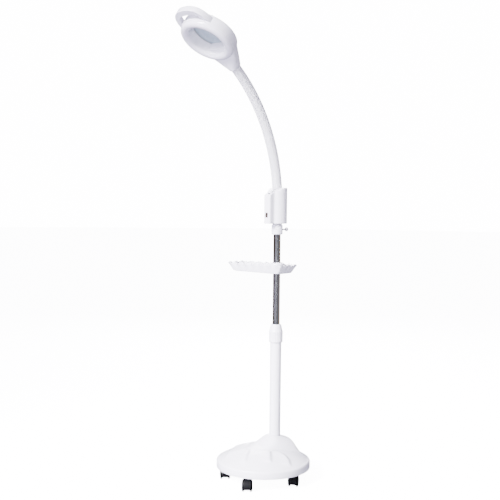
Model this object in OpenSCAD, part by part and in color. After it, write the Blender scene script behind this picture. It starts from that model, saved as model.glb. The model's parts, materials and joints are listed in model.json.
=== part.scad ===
// Magnifying floor lamp on a five-caster foot: a round ballasted base, a telescopic
// column with a twist lock, a clip-on tray, a control housing, a gooseneck and a
// ring head with a lens. Millimetres, +Z up. The origin is on the floor under the
// column's axis, and the head overhangs towards -Y.

/* [Foot] */
// Radius of the round foot
foot_r = 160; // [150:1:170]
// Height of the foot's lower edge above the floor
foot_edge_z = 47; // [47:1:49]
// Height of the dome's crown above the floor
dome_top_z = 118; // [112:1:120]
// How far the foot's centre lies in front of the column
foot_forward = 47; // [40:1:52]
// How far the foot is turned from the arm, in degrees
foot_turn = -11; // [-45:1:45]

/* [Casters] */
// Radius of a caster wheel
wheel_r = 20; // [19:0.5:20]
// Width of one wheel's tread
wheel_w = 8.2; // [7:0.1:9]
// Radius of the circle that the swivel pins stand on
caster_ring_r = 132; // [128:1:134]
// Distance from the swivel pin to the axle
caster_trail = 13; // [10:1:14]

/* [Column] */
// Outer radius of the white lower tube
lower_tube_r = 19; // [18.5:0.25:19.5]
// Height of the lower tube's top end
lower_tube_top = 505; // [480:5:520]
// Outer radius of the chrome tube
chrome_r = 12.5; // [12:0.25:12.75]
// Height of the chrome tube's top end at rest
chrome_top = 872; // [860:2:880]

/* [Tray] */
// Length of the tray's floor
tray_len = 213; // [180:1:220]
// Width of the tray's floor
tray_wid = 70; // [66:1:80]
// Height of the tray's sloping walls
tray_wall_h = 33; // [24:1:34]
// How far the short walls lean out
tray_end_flare = 20; // [12:1:20]
// How far the long walls lean out
tray_side_flare = 10; // [8:1:12]
// How far the tray is turned about the column, in degrees
tray_turn = 3; // [-20:1:20]

/* [Gooseneck] */
// Radius of the arc that the gooseneck follows at rest
arc_r = 575; // [560:5:600]
// Outer radius of the ribbed sleeve
sleeve_r = 17; // [16.5:0.1:17]
// Number of links between housing and head
link_count = 7; // [7:1:7]

/* [Head] */
// Outer radius of the ring head
head_r = 90.5; // [88:0.5:92]
// Depth of the head from front flange to back
head_depth = 38; // [36:1:40]
// Lean of the head's long axis from the vertical, in degrees
head_lean = 57.2; // [50:0.2:62]
// Radius of the lens
lens_r = 63; // [60:0.5:64]

/* [Hidden] */
$fn = 96;

eps = 0.01;
fit = 0.05;              // radial clearance of a running fit
gap = 0.4;               // clearance between parts that only pass each other

// foot
shell = 3;               // wall of the foot's moulded cover
rim_round = 8;           // rounding between the rim and the dome
rim_h = 20;              // straight part of the rim
cap_r = 289;             // radius of the dome's spherical cap
plate_z = 49;            // underside of the base plate
plate_t = 3;
weight_r = 116;
weight_t = 14;
weight_z = plate_z + plate_t;
screw_ring_r = 141;
socket_z = weight_z + weight_t;
socket_flange_t = 4;
socket_top = socket_z + 42;
tube_wall = 1.5;
hump_r = 73.6;           // sphere that the fairing is part of
hump_rise = 21;          // its crown above the dome's crown
hump_back = 20;
screw_r = 1.5;
screw_post_r = 5;
screw_post_top = 77.5;

// casters
caster_phase = -129;     // direction of the first caster, the others follow every 72 degrees
trail_dir = [-40, -46, 124, 70, 100];  // direction in which each caster trails at rest
stem_r = 4;
stem_top = 66;
hood_half = 9.5;
hood_r = 21.2;
hood_top = 44;
fender_half = 14;
fender_in = 20.7;
fender_out = 22.4;
fender_low = 11;
axle_r = 2.5;

// twist lock
collar_z = 471;
grip_top = 512;
collar_top = 533;
grip_r = 23.5;
grip_ribs = 24;
cone_top_r = 16;

// chrome tube
chrome_wall = 1.2;
chrome_bottom = 258;
bush_len = 26;

// tray
tray_z = 707.5;            // underside of the tray's floor
tray_t = 2.5;
tray_offset = 68;        // from the column to the middle of the tray
tray_top = tray_z + tray_wall_h;
ring_flange_r = 18.5;
ring_flange_t = 3;
sleeve_boss_r = 15;
boss_r = 25.5;
boss_top = 745;
scallops = 7;
scallop_r = 22;
scallop_dip = 3;

// housing
lamp_collar_z = 841;
lamp_collar_top = 873;
lamp_collar_r = 18.7;
groove_r = 15;
housing_z = 878;
housing_top = 1000;
housing_r = 33;
lobe_half = 14.5;
lobe_front = 52;
lobe_round = 6;
slope_front_z = 974;     // where the lobe's sloping top meets its front
slope_deg = 28;
housing_wall = 2.5;
thumb_z = 857.5;
thumb_r = 2.45;
button_r = 9.7;
button_y = -33;
button_z = slope_front_z + (lobe_front + button_y) * tan(slope_deg);
rocker_z = 907;
rocker_w = 8.6;
rocker_h = 13.6;

// gooseneck arc: starts vertical at the virtual point (0, arc_z0)
arc_z0 = 946;
arc_start = 5.69;
arc_end = 48.3;
arc_step = (arc_end - arc_start) / link_count;
dome_back = sleeve_r + 0.6;   // from a pivot to the centre of a link's round end

// head
head_y = -323.8;
head_z = 1453.7;
flange_t = 3;
head_wall = 2.5;
throat_r = 60;
neck_tilt = arc_end - head_lean;   // between the gooseneck's last tangent and the head's long axis
neck_start = 11.8;       // from the last pivot to the neck's end
neck_r = 20.5;
neck_root_half = 72;     // half width of the neck where it leaves the ring
handle_mid = 54;         // centre of the handle's outline, from the ring's centre
handle_r = 71.5;
gap_mid = 51.5;          // centre of the finger gap's outline
gap_r = 59.5;
handle_front = -7;
handle_back = -25.5;
flange_r = head_r - 0.8; // front flange, a little smaller than the cover
ferrule_r = 15;
head_screw_ring = 84;
head_screw_r = 1.4;
head_post_r = 3;
head_post_bottom = -32;
lens_z = -34;
lens_edge = 3;
lens_sag = 4.5;
seat_drop = 0.45;        // from the lens's edge down to the step that it rests on
seat_top = -28;
funnel_end = -29.5;
cap_sphere_r = (lens_r * lens_r + lens_sag * lens_sag) / (2 * lens_sag);

// ---------- helpers ----------

// places the foot's parts: turned about the column, centred on the dome
module foot() {
    rotate([0, 0, foot_turn]) translate([0, -foot_forward, 0]) children();
}

module ring(r_out, r_in, z0, z1) {
    translate([0, 0, z0]) difference() {
        cylinder(r = r_out, h = z1 - z0);
        translate([0, 0, -1]) cylinder(r = r_in, h = z1 - z0 + 2);
    }
}

// spokes of identical copies on a circle
module around(count, r, phase = 0) {
    for (i = [0:count - 1])
        rotate([0, 0, phase + i * 360 / count]) translate([r, 0, 0]) children();
}

function arc_point(t) = [0, -arc_r * (1 - cos(t)), arc_z0 + arc_r * sin(t)];

// ---------- foot ----------

// half section of the foot's outside, inset by a wall
module dome_section(inset) {
    mid_r = foot_r - rim_round;
    union() {
        intersection() {
            translate([0, dome_top_z - cap_r]) circle(r = cap_r - inset, $fn = 240);
            translate([0, foot_edge_z]) square([mid_r, dome_top_z]);
        }
        translate([0, foot_edge_z]) square([foot_r - inset, rim_h]);
        translate([mid_r, foot_edge_z + rim_h]) circle(r = rim_round - inset);
    }
}

// rounded fairing about the column, that falls to the back of the dome
module hump(inset) {
    translate([0, hump_back, dome_top_z + hump_rise - hump_r]) intersection() {
        sphere(r = hump_r - inset, $fn = 180);
        cylinder(r = hump_r, h = hump_r);
    }
}

module base_cover() {
    color("white") {
        difference() {
            union() {
                foot() rotate_extrude($fn = 180) dome_section(0);
                rotate([0, 0, foot_turn]) hump(0);
            }
            foot() translate([0, 0, -eps]) rotate_extrude($fn = 180) dome_section(shell);
            rotate([0, 0, foot_turn]) hump(shell);
            cylinder(r = lower_tube_r + gap, h = 200);
        }
        foot() around(5, screw_ring_r, caster_phase + 36)
            ring(screw_post_r, screw_r + 0.1, weight_z, screw_post_top);
    }
}

module base_plate() {
    boss_r = 9;
    color("gainsboro") foot() difference() {
        union() {
            translate([0, 0, plate_z])
                cylinder(r = foot_r - shell - 1, h = plate_t, $fn = 180);
            around(5, caster_ring_r, caster_phase)
                translate([0, 0, foot_edge_z]) cylinder(r = boss_r, h = 21);
        }
        around(5, caster_ring_r, caster_phase)
            translate([0, 0, foot_edge_z - 1])
                cylinder(r = stem_r + fit, h = stem_top - foot_edge_z + 2);
        around(5, screw_ring_r, caster_phase + 36)
            translate([0, 0, plate_z - 1]) cylinder(r = 2, h = plate_t + 2);
    }
}

module base_weight() {
    color("dimgray") difference() {
        foot() translate([0, 0, weight_z]) cylinder(r = weight_r, h = weight_t, $fn = 120);
        around(4, 30, 45) translate([0, 0, weight_z + 3]) cylinder(r = 3, h = weight_t);
    }
}

module base_screws() {
    color("silver") foot() around(5, screw_ring_r, caster_phase + 36) {
        translate([0, 0, plate_z - 1.5]) cylinder(r = 4, h = 1.5);
        translate([0, 0, plate_z - eps]) cylinder(r = screw_r, h = 19);
    }
}

module pole_socket() {
    color("silver") difference() {
        union() {
            translate([0, 0, socket_z]) cylinder(r = 38, h = socket_flange_t);
            translate([0, 0, socket_z]) cylinder(r = 23, h = socket_top - socket_z);
        }
        translate([0, 0, socket_z + socket_flange_t]) cylinder(r = lower_tube_r + fit, h = 60);
        around(4, 30, 45) translate([0, 0, socket_z - 1]) cylinder(r = 3.2, h = 20);
    }
}

module socket_bolts() {
    color("gray") around(4, 30, 45) {
        translate([0, 0, socket_z + socket_flange_t]) cylinder(r = 5, h = 4, $fn = 6);
        translate([0, 0, weight_z + 4])
            cylinder(r = 2.9, h = weight_t + socket_flange_t - 4 + eps);
    }
}

// ---------- casters ----------

// puts a caster's parts at its pin, trailing along the local X
module caster(i) {
    foot() rotate([0, 0, caster_phase + 72 * (i - 1)]) translate([caster_ring_r, 0, 0])
        rotate([0, 0, trail_dir[i - 1] - foot_turn - caster_phase - 72 * (i - 1)]) children();
}

module caster_stem(i) {
    color("silver") caster(i) translate([0, 0, 32]) cylinder(r = stem_r, h = stem_top - 32);
}

module caster_hood(i) {
    color("dimgray") caster(i) difference() {
        union() {
            intersection() {
                translate([caster_trail, hood_half, wheel_r]) rotate([90, 0, 0])
                    cylinder(r = hood_r, h = 2 * hood_half);
                translate([-30, -30, 9]) cube([80, 60, 60]);
            }
            translate([0, 0, 14]) cylinder(r = hood_half, h = hood_top - 14);
            // fender over the treads
            intersection() {
                translate([caster_trail, fender_half, wheel_r]) rotate([90, 0, 0]) difference() {
                    cylinder(r = fender_out, h = 2 * fender_half);
                    translate([0, 0, -1]) cylinder(r = fender_in, h = 2 * fender_half + 2);
                }
                translate([-30, -30, fender_low]) cube([80, 60, 60]);
            }
        }
        translate([0, 0, 32]) cylinder(r = stem_r, h = 60);
        translate([caster_trail, 30, wheel_r]) rotate([90, 0, 0]) cylinder(r = axle_r + fit, h = 60);
        // arch open to the floor behind the pin
        translate([caster_trail + 4, -hood_half - 0.2, 0]) cube([40, 2 * hood_half + 0.4, 14]);
    }
}

module caster_axle(i) {
    half = hood_half + gap + wheel_w - 1;
    color("silver") caster(i) translate([caster_trail, half, wheel_r]) rotate([90, 0, 0])
        cylinder(r = axle_r, h = 2 * half);
}

// two wheels of one caster, on the same axle
module caster_wheels(i) {
    edge = 2;
    color("black") caster(i) for (side = [-1, 1])
        translate([caster_trail, side * (hood_half + gap), wheel_r]) rotate([side * -90, 0, 0])
            difference() {
                rotate_extrude() {
                    square([wheel_r, wheel_w - edge]);
                    square([wheel_r - edge, wheel_w]);
                    translate([wheel_r - edge, wheel_w - edge]) circle(r = edge);
                }
                translate([0, 0, -1]) cylinder(r = axle_r, h = wheel_w);
            }
}

// ---------- column ----------

module lower_tube() {
    color("white")
        ring(lower_tube_r, lower_tube_r - tube_wall, socket_z + socket_flange_t, lower_tube_top);
}

// split bush that the twist collar squeezes onto the chrome tube
module collet() {
    bore = lower_tube_r - tube_wall;
    color("lightgray") difference() {
        union() {
            translate([0, 0, lower_tube_top - 20]) cylinder(r = bore, h = 20);
            translate([0, 0, lower_tube_top]) cylinder(r = lower_tube_r - 0.3, h = 3);
            translate([0, 0, lower_tube_top + 3]) cylinder(r1 = bore - 0.5, r2 = 15, h = 12);
        }
        translate([0, 0, lower_tube_top - 21]) cylinder(r = chrome_r + fit, h = 50);
        for (a = [0:120:240])
            rotate([0, 0, a]) translate([10, -1, lower_tube_top + 1]) cube([12, 2, 20]);
    }
}

module twist_collar() {
    color("white") difference() {
        union() {
            translate([0, 0, collar_z]) cylinder(r = grip_r, h = grip_top - collar_z);
            translate([0, 0, grip_top])
                cylinder(r1 = grip_r - 0.8, r2 = cone_top_r, h = collar_top - grip_top);
        }
        translate([0, 0, collar_z - 1]) cylinder(r = lower_tube_r + fit, h = lower_tube_top - collar_z);
        translate([0, 0, lower_tube_top - 2]) cylinder(r = 20.3, h = 7 + eps);
        translate([0, 0, lower_tube_top + 5]) cylinder(r1 = 20.3, r2 = 16.2, h = 15);
        translate([0, 0, lower_tube_top]) cylinder(r = chrome_r + gap, h = 60);
        around(grip_ribs, grip_r + 0.8) translate([0, 0, collar_z + 4])
            cylinder(r = 2, h = grip_top - collar_z - 10, $fn = 24);
    }
}

module chrome_tube() {
    color("silver") ring(chrome_r, chrome_r - chrome_wall, chrome_bottom, chrome_top);
}

// plastic guide on the lower end of the chrome tube
module tube_bush() {
    color("gray")
        ring(lower_tube_r - tube_wall - fit, chrome_r, chrome_bottom, chrome_bottom + bush_len);
}

// ---------- tray ----------

// friction ring that carries the tray on the chrome tube
module tray_ring() {
    color("white") difference() {
        union() {
            translate([0, 0, tray_z]) cylinder(r = ring_flange_r, h = ring_flange_t);
            translate([0, 0, tray_z]) cylinder(r = sleeve_boss_r, h = boss_top - tray_z - 1);
        }
        translate([0, 0, tray_z - 1]) cylinder(r = chrome_r + fit, h = 60);
    }
}

// the space between the sloping walls, inset by a wall and raised by the floor
module tray_body(inset, lift) {
    floor_l = tray_len - 2 * inset;
    floor_w = tray_wid - 2 * inset;
    hull() {
        translate([-floor_l / 2, -floor_w / 2, tray_z + lift]) cube([floor_l, floor_w, 0.1]);
        translate([0, 0, tray_top + lift * 0.1])
            cube([floor_l + 2 * tray_end_flare, floor_w + 2 * tray_side_flare, 0.2], center = true);
    }
}

module tray() {
    rim_len = tray_len + 2 * tray_end_flare;
    pitch = rim_len / scallops;
    color("white") rotate([0, 0, tray_turn]) difference() {
        union() {
            translate([-tray_offset, 0, 0]) difference() {
                tray_body(0, 0);
                tray_body(2, tray_t);
                for (i = [0:scallops - 1])
                    translate([(i + 0.5) * pitch - rim_len / 2, 100, tray_top + scallop_r - scallop_dip])
                        rotate([90, 0, 0]) cylinder(r = scallop_r, h = 200);
            }
            translate([0, 0, tray_z]) cylinder(r = boss_r, h = boss_top - tray_z - 6);
            translate([0, 0, boss_top - 6]) cylinder(r1 = boss_r, r2 = boss_r - 5, h = 6);
        }
        translate([0, 0, tray_z - 1]) cylinder(r = sleeve_boss_r + fit, h = 60);
        // recess for the ring's flange
        translate([0, 0, tray_z - 1]) cylinder(r = ring_flange_r + gap, h = ring_flange_t + 1.3);
    }
}

// ---------- control housing ----------

module lamp_collar() {
    color("white") difference() {
        union() {
            translate([0, 0, lamp_collar_z])
                cylinder(r = lamp_collar_r, h = lamp_collar_top - lamp_collar_z);
            translate([0, 0, lamp_collar_top - eps])
                cylinder(r = groove_r, h = housing_z + 6 - lamp_collar_top);
            translate([0, 0, housing_z + housing_wall]) cylinder(r = 24, h = 4);
        }
        translate([0, 0, lamp_collar_z - 1])
            cylinder(r = chrome_r + fit, h = chrome_top + 0.5 - lamp_collar_z + 1);
        translate([0, 0, thumb_z]) rotate([-90, 0, 0]) cylinder(r = thumb_r + fit, h = 40);
    }
}

module thumb_screw() {
    color("silver") translate([0, chrome_r + gap, thumb_z]) rotate([-90, 0, 0])
        cylinder(r = thumb_r, h = 32);
}

module thumb_knob() {
    color("gainsboro") translate([0, 41, thumb_z]) rotate([-90, 0, 0]) difference() {
        union() {
            cylinder(r1 = 5, r2 = 7, h = 3);
            translate([0, 0, 3]) cylinder(r = 7, h = 4);
            translate([0, 0, 7]) cylinder(r1 = 7, r2 = 5.5, h = 1.5);
        }
        translate([0, 0, -1]) cylinder(r = thumb_r, h = 4.9);
    }
}

// plan of the housing, inset by a wall: a round body with a lobe to the front
module housing_plan(inset) {
    corner = lobe_round - inset;
    circle(r = housing_r - inset);
    translate([-lobe_half + inset, -lobe_front + lobe_round])
        square([2 * (lobe_half - inset), lobe_front - lobe_round]);
    translate([-lobe_half + lobe_round, -lobe_front + inset])
        square([2 * (lobe_half - lobe_round), lobe_front - inset]);
    for (side = [-1, 1])
        translate([side * (lobe_half - lobe_round), -lobe_front + lobe_round]) circle(r = corner);
}

// everything above the lobe's sloping top
module above_slope(drop) {
    translate([-100, -lobe_front, slope_front_z - drop]) rotate([slope_deg, 0, 0])
        translate([0, -100, 0]) cube([200, 160, 100]);
}

module housing_shell() {
    difference() {
        translate([0, 0, housing_z]) linear_extrude(housing_top - housing_z) housing_plan(0);
        above_slope(0);
        difference() {
            translate([0, 0, housing_z + housing_wall])
                linear_extrude(housing_top - housing_z - 2 * housing_wall) housing_plan(housing_wall);
            above_slope(housing_wall / cos(slope_deg));
        }
        cylinder(r = groove_r + 0.2, h = housing_z + 10);
        translate([0, arc_point(arc_start)[1], housing_top - 40]) cylinder(r = sleeve_r + fit, h = 60);
    }
}

module housing_front() {
    color("white") difference() {
        intersection() {
            housing_shell();
            translate([-100, -200, 800]) cube([200, 200, 300]);
        }
        translate([0, button_y, button_z]) rotate([slope_deg, 0, 0])
            translate([0, 0, -8]) cylinder(r = button_r + gap, h = 20);
        translate([0, -lobe_front, rocker_z]) cube([rocker_w + 3, 12, rocker_h + 3], center = true);
    }
}

module housing_back() {
    color("white") difference() {
        intersection() {
            housing_shell();
            translate([-100, 0, 800]) cube([200, 200, 300]);
        }
        for (z = [905, 975]) translate([0, 0, z]) rotate([-90, 0, 0]) cylinder(r = 1.8, h = 60);
    }
}

module housing_screws() {
    color("silver") for (z = [905, 975]) translate([0, housing_r - 12, z]) rotate([-90, 0, 0]) {
        cylinder(r = 1.5, h = 12);
        translate([0, 0, 12]) cylinder(r = 3.2, h = 1.6);
    }
}

module driver_board() {
    color("seagreen") translate([-14, -22, housing_z + 12]) cube([28, 1.6, 46]);
    color("gray") {
        translate([-10, -20.4, housing_z + 16]) cube([20, 12, 16]);
        translate([0, -15.6, housing_z + 36]) cylinder(r = 5, h = 18);
    }
}

module push_button() {
    color("white") translate([0, button_y, button_z]) rotate([slope_deg, 0, 0]) {
        translate([0, 0, -4]) cylinder(r = button_r, h = 6.5);
        intersection() {
            translate([0, 0, 2.5 - 8]) sphere(r = 12.57);
            translate([0, 0, 2.5 - eps]) cylinder(r = button_r, h = 10);
        }
    }
}

module switch_bezel() {
    color("dimgray") difference() {
        translate([0, -lobe_front + 2.4, rocker_z]) cube([rocker_w + 3, 6, rocker_h + 3], center = true);
        translate([0, -lobe_front, rocker_z]) cube([rocker_w + 0.8, 20, rocker_h + 1.4], center = true);
    }
}

// rocker lens, pressed in at its top at rest
module rocker_switch() {
    rest_tilt = -8;
    color("saddlebrown") translate([0, -lobe_front + 4, rocker_z]) rotate([rest_tilt, 0, 0]) intersection() {
        cube([rocker_w, 12, rocker_h - 0.6], center = true);
        translate([0, 6.5, 0]) rotate([0, 90, 0]) cylinder(r = 11, h = rocker_w, center = true);
    }
}

// ---------- gooseneck ----------

// round-ended bar between two pivots, short of both by the clearance
module link_bar(p, q) {
    d = q - p;
    length = norm(d);
    lean = atan2(-d[1], d[2]);
    translate(p) rotate([lean, 0, 0]) {
        translate([0, 0, dome_back]) cylinder(r = sleeve_r, h = length - 2 * dome_back);
        translate([0, 0, dome_back]) sphere(r = sleeve_r);
        translate([0, 0, length - dome_back]) sphere(r = sleeve_r);
    }
}

module link(i) {
    color("whitesmoke")
        link_bar(arc_point(arc_start + (i - 1) * arc_step), arc_point(arc_start + i * arc_step));
}

module ferrule_lower() {
    p = arc_point(arc_start);
    color("whitesmoke") translate([0, p[1], 0]) {
        translate([0, 0, 950]) cylinder(r = sleeve_r, h = p[2] - dome_back - 950);
        translate([0, 0, p[2] - dome_back]) sphere(r = sleeve_r);
    }
}

// ---------- head ----------

// the head's own frame: X across, Y along towards the handle, Z out of the lit side
module head() {
    translate([0, head_y, head_z]) rotate([90 + head_lean, 0, 0]) children();
}

// the last pivot, in the head's frame
pivot_y = arc_point(arc_end)[1] - head_y;
pivot_z = arc_point(arc_end)[2] - head_z;
head_pivot = [0, pivot_z * cos(head_lean) - pivot_y * sin(head_lean),
    -pivot_y * cos(head_lean) - pivot_z * sin(head_lean)];

// the neck's end, with Y along the gooseneck's last tangent
module neck_joint() {
    translate(head_pivot) rotate([neck_tilt, 0, 0]) translate([0, neck_start, 0]) children();
}

module ferrule_upper() {
    color("silver") translate(arc_point(arc_end)) rotate([arc_end, 0, 0]) translate([0, 0, dome_back]) {
        cylinder(r = ferrule_r, h = 28);
        sphere(r = ferrule_r);
    }
}

// solid neck from the ring to the gooseneck, inset by a wall
module neck_solid(inset) {
    hull() {
        translate([-neck_root_half + inset, -52, -head_depth + 4 + inset])
            cube([2 * (neck_root_half - inset), 8, head_depth - 4 - 2 * inset]);
        neck_joint() rotate([-90, 0, 0]) translate([0, 0, inset > 0 ? 20 : 1])
            cylinder(r = neck_r - inset, h = 12, $fn = 48);
    }
}

// bore that holds the upper ferrule
module ferrule_bore() {
    neck_joint() rotate([-90, 0, 0]) cylinder(r = ferrule_r + fit, h = 60);
}

// head's outside behind the flange line, or its hollow when inset
module ring_drum(inset) {
    corner = 9;
    rotate_extrude($fn = 144) {
        translate([0, -head_depth + inset]) square([head_r - corner, head_depth - flange_t]);
        translate([0, -head_depth + corner]) square([head_r - inset, head_depth - flange_t - corner]);
        translate([head_r - corner, -head_depth + corner]) circle(r = corner - inset);
    }
}

// handle loop at the far end of the head, less the finger gap
module handle_loop() {
    translate([0, 0, handle_back]) linear_extrude(handle_front - handle_back) difference() {
        translate([0, handle_mid]) circle(r = handle_r);
        translate([0, gap_mid]) circle(r = gap_r);
        circle(r = head_r - head_wall);
    }
}

module head_cover() {
    color("white") head() difference() {
        union() {
            ring_drum(0);
            intersection() {
                neck_solid(0);
                translate([-100, -200, -60 - flange_t]) cube([200, 200, 60]);
            }
            handle_loop();
        }
        difference() {
            ring_drum(head_wall);
            translate([0, 0, -head_depth]) cylinder(r = lens_r + 2.7, h = head_depth + seat_top);
        }
        translate([0, 0, -head_depth - 1]) cylinder(r = throat_r, h = 60);
        translate([0, 0, lens_z - lens_edge / 2 - seat_drop]) cylinder(r = lens_r + 0.2, h = 60);
        neck_solid(head_wall);
        ferrule_bore();
        around(4, head_screw_ring, 45) {
            translate([0, 0, -head_depth - 1]) cylinder(r = head_screw_r + 0.05, h = 12);
            translate([0, 0, -head_depth - 1]) cylinder(r = 2.7, h = 2.2);
        }
    }
}

// half section of the lit side: flange, rounded crest and funnel down to the lens
module shroud_section() {
    crest_r = 12.5;
    crest_x = 76;
    difference() {
        union() {
            translate([throat_r - 0.5, -flange_t]) square([flange_r - throat_r + 0.5, flange_t]);
            translate([crest_x, -1]) circle(r = crest_r);
        }
        translate([crest_x, -1]) circle(r = crest_r - head_wall);
        translate([0, -60 - flange_t]) square([200, 60]);
        translate([crest_x - crest_r + head_wall, -flange_t - 1]) square([2 * (crest_r - head_wall), flange_t]);
    }
    polygon([[throat_r, funnel_end], [throat_r + head_wall, funnel_end],
        [crest_x - crest_r + head_wall, -1], [crest_x - crest_r, -1]]);
}

module shroud() {
    color("whitesmoke") head() union() {
        rotate_extrude($fn = 144) shroud_section();
        around(4, head_screw_ring, 45) ring(head_post_r, head_screw_r + 0.05, head_post_bottom, 4);
        difference() {
            intersection() {
                neck_solid(0);
                translate([-100, -200, -flange_t]) cube([200, 200, 60]);
            }
            neck_solid(head_wall);
            ferrule_bore();
            translate([0, 0, -60]) cylinder(r = flange_r - 1, h = 100, $fn = 144);
        }
    }
}

module lens() {
    color("lightblue", 0.5) head() translate([0, 0, lens_z]) {
        intersection() {
            translate([0, 0, lens_edge / 2 + lens_sag - cap_sphere_r]) sphere(r = cap_sphere_r, $fn = 200);
            cylinder(r = lens_r, h = 20);
        }
        intersection() {
            translate([0, 0, cap_sphere_r - lens_sag - lens_edge / 2]) sphere(r = cap_sphere_r, $fn = 200);
            translate([0, 0, -20]) cylinder(r = lens_r, h = 20);
        }
    }
}

module lens_ring() {
    color("dimgray") head() ring(lens_r + 0.1, throat_r + 0.5, lens_z + 1.9, lens_z + 3.6);
}

module led_ring() {
    board_z = -head_depth + head_wall;
    color("white") head() ring(79.5, 68, board_z, board_z + 1.6);
    color("gold") head() around(36, 77) translate([0, 0, board_z + 2]) cube([5, 3, 1.2], center = true);
}

module head_screws() {
    color("silver") head() around(4, head_screw_ring, 45) translate([0, 0, -head_depth]) {
        cylinder(r = 2.6, h = 1.2);
        cylinder(r = head_screw_r, h = head_depth - 12);
    }
}

// ---------- what is drawn ----------

base_cover();
base_plate();
base_weight();
base_screws();
pole_socket();
socket_bolts();
lower_tube();
collet();
twist_collar();
chrome_tube();
tube_bush();
tray_ring();
tray();
lamp_collar();
thumb_screw();
thumb_knob();
housing_front();
housing_back();
housing_screws();
driver_board();
push_button();
switch_bezel();
rocker_switch();
ferrule_lower();
for (i = [1:link_count]) link(i);
ferrule_upper();
head_cover();
shroud();
lens();
lens_ring();
led_ring();
head_screws();
for (i = [1:5]) {
    caster_stem(i);
    caster_hood(i);
    caster_axle(i);
    caster_wheels(i);
}
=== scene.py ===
"""Magnifying floor lamp: finished surfaces, finishes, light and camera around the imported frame."""

import json
import math

import bpy
import numpy as np
from mathutils import Matrix, Vector


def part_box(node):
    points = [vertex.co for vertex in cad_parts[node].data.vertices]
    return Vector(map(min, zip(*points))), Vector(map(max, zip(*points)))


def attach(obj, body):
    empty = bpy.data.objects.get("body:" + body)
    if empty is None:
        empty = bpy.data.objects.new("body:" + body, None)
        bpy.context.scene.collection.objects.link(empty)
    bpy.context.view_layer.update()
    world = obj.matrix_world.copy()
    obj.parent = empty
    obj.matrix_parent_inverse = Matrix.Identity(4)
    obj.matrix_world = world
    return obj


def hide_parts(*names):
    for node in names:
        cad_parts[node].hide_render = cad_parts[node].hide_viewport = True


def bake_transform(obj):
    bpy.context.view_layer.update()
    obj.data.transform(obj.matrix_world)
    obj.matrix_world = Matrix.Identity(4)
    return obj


bl_info = {
    "name": "Magnifying Lamp",
    "version": (1, 0, 0),
    "blender": (4, 5, 0),
    "location": "View3D > Sidebar > Lamp",
    "description": "Builds a rolling floor magnifier piece by piece around its packed frame",
    "category": "Add Mesh",
}

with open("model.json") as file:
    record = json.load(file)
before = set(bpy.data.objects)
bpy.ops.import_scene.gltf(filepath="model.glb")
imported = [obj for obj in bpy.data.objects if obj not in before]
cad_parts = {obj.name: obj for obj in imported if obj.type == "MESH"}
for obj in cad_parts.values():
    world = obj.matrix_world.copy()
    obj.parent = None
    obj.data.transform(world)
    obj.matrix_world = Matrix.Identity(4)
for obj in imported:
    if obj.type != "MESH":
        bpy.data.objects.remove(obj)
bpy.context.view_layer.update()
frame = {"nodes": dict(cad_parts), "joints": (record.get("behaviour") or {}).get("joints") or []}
MM = 0.001


# ---------- places taken from the frame ----------

def low(node):
    """Lowest corner of a node, in millimetres."""
    return np.array(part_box(node)[0]) / MM


def high(node):
    """Highest corner of a node, in millimetres."""
    return np.array(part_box(node)[1]) / MM


def middle(node):
    """Centre of a node's box, in millimetres."""
    return (low(node) + high(node)) / 2


def joint(name):
    """The joint of that name."""
    return next(j for j in frame["joints"] if j["name"] == name)


FOOT_CENTRE = middle("base_plate")
FOOT_TURN = math.atan2(FOOT_CENTRE[0], -FOOT_CENTRE[1])
FOOT_RADIUS = (high("base_cover")[0] - low("base_cover")[0]) / 2
FOOT_CROWN = 118.0  # top of the dome without its fairing
COLUMN_BACK = np.linalg.norm(FOOT_CENTRE[:2])  # the column stands this far behind the foot's centre
COLUMN_BORE = 19.3  # radius of the hole in the foot's cover that the column passes through
SLEEVE_RADIUS = 17.0
LENS_DEPTH = 34.0  # from the head's front plane back to the middle of the lens
HOUSING_SLOPE = math.radians(28)
PIVOTS = [np.array(joint(n)["pos_m"]) / MM for n in (
    "neck_side_1", "neck_bend_1", "neck_side_2", "neck_bend_2",
    "neck_side_3", "neck_bend_3", "neck_side_4", "neck_bend_4")]
ARC_START = math.atan2(*joint("neck_side_1")["axis"][:0:-1])
ARC_LATE = math.atan2(*joint("neck_side_4")["axis"][:0:-1])
ARC_STEP = (ARC_LATE - ARC_START) / 6
ARC_R = (PIVOTS[6][2] - PIVOTS[0][2]) / (math.sin(ARC_LATE) - math.sin(ARC_START))
ARC_FOOT_Z = PIVOTS[0][2] - ARC_R * math.sin(ARC_START)


# ---------- shapes ----------

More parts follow.
